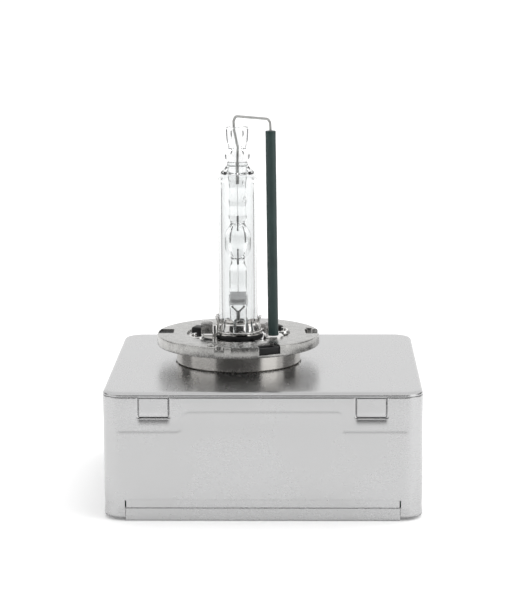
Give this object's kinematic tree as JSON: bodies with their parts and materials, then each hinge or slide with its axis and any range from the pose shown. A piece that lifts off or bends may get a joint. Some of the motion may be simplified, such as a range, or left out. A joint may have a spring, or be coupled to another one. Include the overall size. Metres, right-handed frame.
{
  "type": "headlight bulb",
  "caption": "Xenon discharge headlight bulb: glass burner and ceramic return tube in a steel base ring, on a square metal box with igniter and ballast.",
  "frame": {"origin": "on the burner axis, in the plane of the base ring's seating face towards the burner", "axes": "+Z along the burner axis towards its tip; -Y towards the box's front with the two visible clips; +X to the right, the side on which the box reaches further from the axis"},
  "size_m": [0.071, 0.069, 0.087],
  "materials": {
    "jacket_glass": "clear polished glass",
    "quartz_glass": "clear fused quartz",
    "tungsten": "dark drawn tungsten",
    "molybdenum": "matt rolled foil",
    "lead_wire": "drawn nickel wire",
    "green_ceramic": "dark green satin glaze",
    "spring_steel": "bright stamped stainless sheet",
    "ring_steel": "nickel-plated, satin to bright",
    "black_plastic": "moulded, fine matt",
    "contact_brass": "tinned",
    "box_steel": "tinned sheet, fine brushed",
    "seal_rubber": "matt",
    "pad_rubber": "soft filled silicone",
    "board_laminate": "solder mask over glass laminate",
    "ferrite": "sintered, matt",
    "copper_winding": "enamelled copper wire",
    "copper_strap": "bare copper strip",
    "capacitor_sleeve": "aluminium can in a shrink sleeve",
    "chip_epoxy": "moulded epoxy",
    "bobbin_plastic": "moulded, natural",
    "white_ceramic": "alumina",
    "cap_metal": "plated",
    "film_capacitor": "dipped epoxy"
  },
  "bodies": {
    "root": {"outer_jacket": "jacket_glass", "arc_tube": "quartz_glass", "upper_electrode": "tungsten", "lower_electrode": "tungsten", "upper_foil": "molybdenum", "lower_foil": "molybdenum", "upper_lead": "lead_wire", "lower_lead": "lead_wire", "return_wire": "lead_wire", "ceramic_tube": "green_ceramic", "clamp_ring": "spring_steel", "tongue_plate": "spring_steel", "base_ring": "ring_steel", "key_insert": "black_plastic", "neck_collar": "ring_steel", "burner_socket": "black_plastic", "lamp_contact": "contact_brass", "return_contact": "contact_brass", "top_cover": "box_steel", "cover_gasket": "seal_rubber", "housing_can": "box_steel", "bottom_plate": "box_steel", "connector_shell": "black_plastic", "supply_pins": "contact_brass", "thermal_pad": "pad_rubber", "circuit_board": "board_laminate", "transformer_core": "ferrite", "transformer_winding": "copper_winding", "inductor_core": "ferrite", "inductor_winding": "copper_winding", "smoothing_capacitor": "capacitor_sleeve", "boost_capacitor": "capacitor_sleeve", "bridge_transistors": "chip_epoxy", "control_chip": "chip_epoxy", "igniter_case": "black_plastic", "igniter_core": "ferrite", "igniter_bobbin": "bobbin_plastic", "igniter_secondary": "copper_winding", "igniter_primary": "copper_strap", "spark_gap": "white_ceramic", "spark_gap_caps": "cap_metal", "ignition_capacitor": "film_capacitor", "board_link": "contact_brass"}
  },
  "joints": []
}
